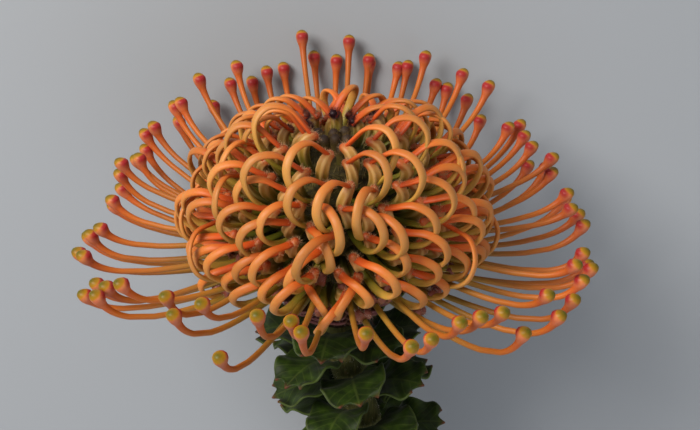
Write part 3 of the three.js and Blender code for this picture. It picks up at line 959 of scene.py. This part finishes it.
def makeBracts():
    shade = random.Random(31)
    copies, strands = [], []
    for row, (count, foot, footRadius, top, topRadius, halfWidth) in enumerate(bract["rows"]):
        for i in range(count):
            azimuth = 2 * math.pi * (i + 0.25 * row) / count
            ahead, aside = np.array(aroundAxis(1, azimuth, 0)), np.array(besideAxis(azimuth))
            piece, across, along = bladeGrid("bract", 7, 8)
            taper = np.sqrt(1 - 0.93 * along)
            radius = mix(footRadius, topRadius, np.sin(along * np.pi / 2))
            points = radius[:, None] * ahead + (across * halfWidth * taper)[:, None] * aside
            points[:, 2] += mix(foot, top, along) + 0.5 * across**2 * taper
            writePoints(piece, points * mm)
            writeShares(piece, along=along, tone=shade.random())
            for _ in range(bract["hairs"]):
                root = Vector(points[shade.randrange(len(points))] * mm)
                away = Vector((0, 0, -0.5)) + strayed(shade, 0.5) + Vector(0.8 * ahead)
                tip = root + away.normalized() * mix(0.4, 1.1, shade.random()) * mm
                strands.append((root, tip, shade.random()))
            thicken(piece, bract["thickness"])
            copies.append(piece)
    # downy bract: olive at the foot, dull mauve brown towards the tip
    stops = [(0, "#5c5a2c"), (0.35, "#74503c"), (0.75, "#84504a"), (1, "#6d3a3c")]
    material = dryMaterial("downyBract", stops, 0.75)
    layDown(joined(copies, "bracts"), material, "involucre")
    layHairs("bractHairs", strands, bract["hair"], "involucre")

    collar = turnedBlank("collar", 32, bract["collar"], mm)
    writeShares(collar, along=0.3)
    spine = np.array([(0, 0, bract["collarBottom"]), (0, 0, bract["collarTop"])])
    turned = laidAlong(collar, spine, (1, 0, 0), 0.4)
    layDown(joined([turned], "bractCollar", collar), material, "involucre")


makeBracts()
print("bracts stand")


# The stem, woody and downy, with a clean cut end

stem = {
    # x and z in mm
    "line": [(0, -25.3), (0.05, -28), (1.5, -35), (5.6, -52), (10, -78), (12, -104), (10.5, -130), (7, -152)],
    "topTaper": 0.88,
    "sides": 32,
    "rings": 60,
    # share of the length and of the radius: a trimmed edge, and a cut that is a little hollow
    "cutEnd": [(0.996, 0.99), (0.9985, 0.965), (0.9995, 0.93), (1, 0.72), (0.9996, 0.3)],
    "cutFrom": 0.9993,
    "hairs": 3200,
    "hairLength": 0.7 * mm,
    "hair": ("stemDown", 0.03 * mm, "#8b8560", "#e6e2cf"),
}
stemPath = throughPoints([(x * mm, 0, z * mm) for x, z in stem["line"]])


def stemAt(share):
    # the point and the upward direction at a share of the stem's length
    point, direction = atShares(stemPath, share)
    return Vector(point), -Vector(direction).normalized()


def makeStem():
    shares = [k / stem["rings"] for k in range(stem["rings"])]
    stations = [(share, mix(stem["topTaper"], 1, share)) for share in shares] + stem["cutEnd"]
    blank = turnedBlank("stemBlank", stem["sides"], stations, flower["stemRadius"])
    points = readPoints(blank)
    along = points[:, 0]
    angle = np.arctan2(points[:, 2], points[:, 1])
    bark = 0.98 + 0.018 * np.sin(5 * angle + 20 * along) + 0.012 * np.sin(9 * angle - 31 * along)
    writeShares(blank, cut=(along > stem["cutFrom"]).astype(float))
    points[:, 1:] *= bark[:, None]
    writePoints(blank, points)
    piece = joined([laidAlong(blank, stemPath, (0, 1, 0), 0.5)], "stemBark", blank)

    # downy bark: olive brown streaks along the stem, and pale wood where it is cut
    stops = [(0.32, "#44461f"), (0.5, "#585b2b"), (0.64, "#6e6a38"), (0.8, "#7a5c42")]
    material, tree, streaks, colour = patchyMaterial("woollyStemBark", 0.7 * mm, 6, stops, (1, 0.1, 1))
    cut = addNode(tree, "Attribute", {"attribute_name": "cut"}, output="Fac")
    sawn = addNode(tree, "Mix", ofColours, {"Factor": cut, 6: colour, 7: "#c9bd8c"}, output=2)
    finishMaterial(tree, sawn, 0.8, (streaks, 0.6, 0.35 * mm))
    layDown(piece, material, "stem")

    shade = random.Random(47)
    strands = []
    for _ in range(stem["hairs"]):
        share = shade.uniform(0.02, 0.985)
        point, direction = stemAt(share)
        aside = Vector((0, 1, 0))
        other = direction.cross(aside).normalized()
        turn = shade.uniform(0, 2 * math.pi)
        out = aside * math.cos(turn) + other * math.sin(turn)
        root = point + out * mix(stem["topTaper"], 1, share) * flower["stemRadius"] * 0.97
        away = 0.55 * out + 0.6 * direction * shade.uniform(-1, 1) + 0.3 * other
        strands.append((root, root + away.normalized() * stem["hairLength"], shade.random()))
    layHairs("stemHairs", strands, stem["hair"], "stem")


makeStem()
print("stem lies")


# Leaves: leathery, cupped round the stem, turned out at the tip, with gland-tipped teeth

leaf = {
    "count": 36,
    "length": 16.5 * mm,
    "lengthStray": 0.06,
    "halfWidth": 7.4 * mm,
    "widthStray": 0.08,
    "thickness": 1 * mm,
    "bladeShare": 0.45,  # the drawn blade is thinner than its solid
    "start": math.radians(-100),
    "first": 0.016,  # shares of the stem's length
    "last": 0.6,
    "crowding": 0.7,  # closer together at the top
    "footSlope": 40,  # degrees off the stem
    "tipSlope": 100,
    "outline": [0.56, 0.88, 1, 0.98, 0.84, 0.58],  # half width from foot to tip
    "ripple": 0.6 * mm,
    "frill": 0.8 * mm,
    "midrib": 0.3 * mm,
    "veins": 0.25 * mm,
    "veinSlant": 0.33,
    "notch": 0.1,
    "clearance": 0.3 * mm,
    "steps": 200,
}


def leafMaterial():
    # leathery dull leaf: dark green, paler along the margin and the veins, with brown glands on the teeth
    stops = [(0.3, "#152206"), (0.5, "#233609"), (0.72, "#384f10")]
    material, tree, mottle, green = patchyMaterial("leatheryLeaf", 3 * mm, 6, stops)
    shares = ({"attribute_name": name} for name in ("across", "along", "gland"))
    across, along, gland = (addNode(tree, "Attribute", share, output="Fac") for share in shares)
    # veins run forward from the midrib: a wave over along minus a share of across
    fold = addNode(tree, "Math", {"operation": "ABSOLUTE"}, {0: across})
    slanted = {0: fold, 1: -leaf["veinSlant"], 2: along}
    slantwise = addNode(tree, "Math", {"operation": "MULTIPLY_ADD"}, slanted)
    wave = addNode(tree, "Math", {"operation": "MULTIPLY"}, {0: slantwise, 1: 44})
    swing = addNode(tree, "Math", {"operation": "SINE"}, {0: wave})
    veinRange = {"Value": swing, "From Min": 0.82, "From Max": 1, "To Max": 0.18}
    ribRange = {"Value": fold, "From Min": 0.07, "From Max": 0.01, "To Max": 0.3}
    marginRange = {"Value": fold, "From Min": 0.92, "From Max": 1, "To Max": 0.42}
    vein, rib, margin = [addNode(tree, "MapRange", smooth, r) for r in (veinRange, ribRange, marginRange)]
    lines = addNode(tree, "Math", {"operation": "MAXIMUM"}, {0: vein, 1: rib})
    paler = addNode(tree, "Math", {"operation": "MAXIMUM"}, {0: lines, 1: margin})
    veined = addNode(tree, "Mix", ofColours, {"Factor": paler, 6: green, 7: "#5e6e30"}, output=2)
    glanded = addNode(tree, "Mix", ofColours, {"Factor": gland, 6: veined, 7: "#66301c"}, output=2)
    others = {"Specular IOR Level": 0.25, "Sheen Weight": 0.05, "Sheen Roughness": 0.5}
    finishMaterial(tree, glanded, 0.52, (lines, 0.35, 0.3 * mm), others)
    return material


def makeLeaf(i, material):
    draw = seededDraws(911 + 37 * i)
    share = i / (leaf["count"] - 1)
    place = mix(leaf["first"], leaf["last"], share * mix(leaf["crowding"], 1, share))
    foot, axis = stemAt(place)
    out = aroundAxis(1, leaf["start"] + i * goldenAngle, 0)
    out = (out - axis * out.dot(axis)).normalized()
    aside = axis.cross(out)
    length = leaf["length"] * (1 + leaf["lengthStray"] * next(draw))
    halfWidth = leaf["halfWidth"] * (1 + leaf["widthStray"] * next(draw))
    ripple = leaf["ripple"] * next(draw)
    startRadius = mix(stem["topTaper"], 1, place) * flower["stemRadius"]
    startRadius += leaf["clearance"] + leaf["thickness"] / 2

    # a leaf with too little room between the stem and the surface spreads less
    room = (flower["headHeight"] + foot.dot(upward)) / max(0.3, -out.dot(upward))
    spread = min(1, (room - startRadius) / length)

    def slopeAt(at):
        return spread * np.radians(mix(leaf["footSlope"], leaf["tipSlope"], np.sin(at * np.pi / 2)))

    # its midline, step by step
    count = leaf["steps"]
    slopes = slopeAt((np.arange(count) + 0.5) / count)
    radii = startRadius + np.concatenate([[0], np.cumsum(np.sin(slopes))]) * length / count
    heights = np.concatenate([[0], np.cumsum(np.cos(slopes))]) * length / count
    steps = np.linspace(0, 1, count + 1)

    piece, across, along = bladeGrid("leafBlade%02d" % (i + 1), 24, 26)
    rows = np.linspace(0, 1, len(leaf["outline"]))
    outline = np.interp(along, rows, leaf["outline"]) + 0.03 * np.sin(np.pi * along)
    tooth = np.abs(np.sin(np.pi * across)) * leaf["notch"] + 0.07 * across**2
    reach = along * (1 - tooth * along**6)
    radius = np.interp(reach, steps, radii)
    height = np.interp(reach, steps, heights)
    slope = slopeAt(reach)
    bend = 1.15 * radius + 4.5 * mm
    angle = across * halfWidth * outline / bend
    raised = bend * (1 - np.cos(angle)) + ripple * across**2 * np.sin(7 * along)
    raised += leaf["frill"] * across**2 * np.sin(15 * along + 2.3 * i + 1.5 * across)
    raised -= leaf["midrib"] * np.exp(-((across / 0.09) ** 2)) * (1 - along)
    slantwise = along - leaf["veinSlant"] * np.abs(across)
    raised += leaf["veins"] * np.sin(22 * slantwise) * (1 - across**2) * np.abs(across)
    points = np.array(foot)[None] + (radius - raised * np.cos(slope))[:, None] * np.array(out)
    points = points + (bend * np.sin(angle))[:, None] * np.array(aside)
    points = points + (height + raised * np.sin(slope))[:, None] * np.array(axis)
    writePoints(piece, np.array([lieOnSurface(Vector(p), leaf["thickness"]) for p in points]))
    atTooth = np.cos(np.pi * across) ** 8 * np.clip((along - 0.95) / 0.04, 0, 1)
    writeShares(piece, across=across, along=along, gland=atTooth)
    thicken(piece, leaf["bladeShare"] * leaf["thickness"])
    layDown(piece, material, "leaf_%02d" % (i + 1))


leatheryLeaf = leafMaterial()
for i in range(leaf["count"]):
    makeLeaf(i, leatheryLeaf)
print("leaves lie")
